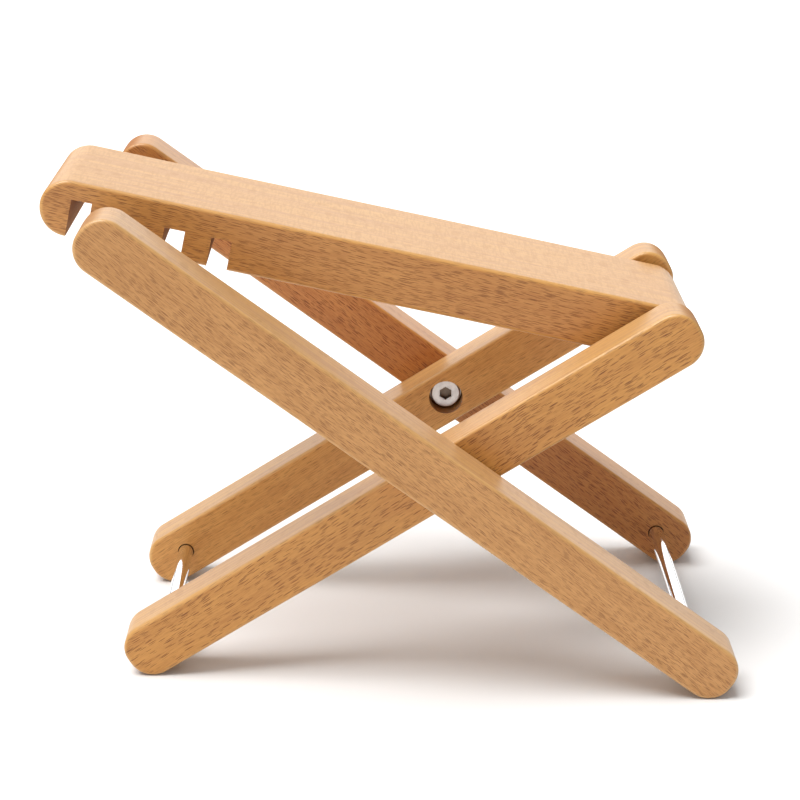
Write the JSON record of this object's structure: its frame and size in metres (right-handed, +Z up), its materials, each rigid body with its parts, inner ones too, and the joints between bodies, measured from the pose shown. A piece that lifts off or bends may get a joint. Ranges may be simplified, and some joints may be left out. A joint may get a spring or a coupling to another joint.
{
  "type": "folding foot rest",
  "caption": "Folding beech foot rest with crossed legs on bolted pivots, steel cross rods and a hinged tread that hooks over a rod by notches.",
  "frame": {"origin": "on the floor under the middle of the bounding box", "axes": "+X from the hooked end of the tread to its hinged end, +Y across the stand from front to rear, +Z up"},
  "size_m": [0.2688, 0.1612, 0.1956],
  "materials": {
    "beech": "oiled beech, satin",
    "chrome_rod": "polished",
    "satin_steel": "satin",
    "brass": "turned",
    "nylon": "matt"
  },
  "bodies": {
    "outer_frame": {"outer_leg_front": "beech", "outer_leg_rear": "beech", "notch_rod": "chrome_rod", "outer_foot_rod": "chrome_rod", "pivot_bolt_front": "satin_steel", "pivot_bolt_rear": "satin_steel", "threaded_insert_front": "brass", "threaded_insert_rear": "brass", "leg_spacer_front": "nylon", "leg_spacer_rear": "nylon"},
    "inner_frame": {"inner_leg_front": "beech", "inner_leg_rear": "beech", "inner_foot_rod": "chrome_rod", "tread_hinge_rod": "chrome_rod", "pivot_bush_front": "brass", "pivot_bush_rear": "brass", "head_washer_front": "satin_steel", "head_washer_rear": "satin_steel"},
    "tread": {"tread_board": "beech"}
  },
  "joints": [
    {"name": "frame_fold", "type": "hinge", "parent": "outer_frame", "child": "inner_frame", "pos_m": [0.02358, 0, 0.08496], "axis": [0, 1, 0], "range_deg": [0, 68]},
    {"name": "tread_lift", "type": "hinge", "parent": "inner_frame", "child": "tread", "pos_m": [0.10381, 0, 0.13489], "axis": [0, 1, 0], "range_deg": [0, 90]}
  ]
}
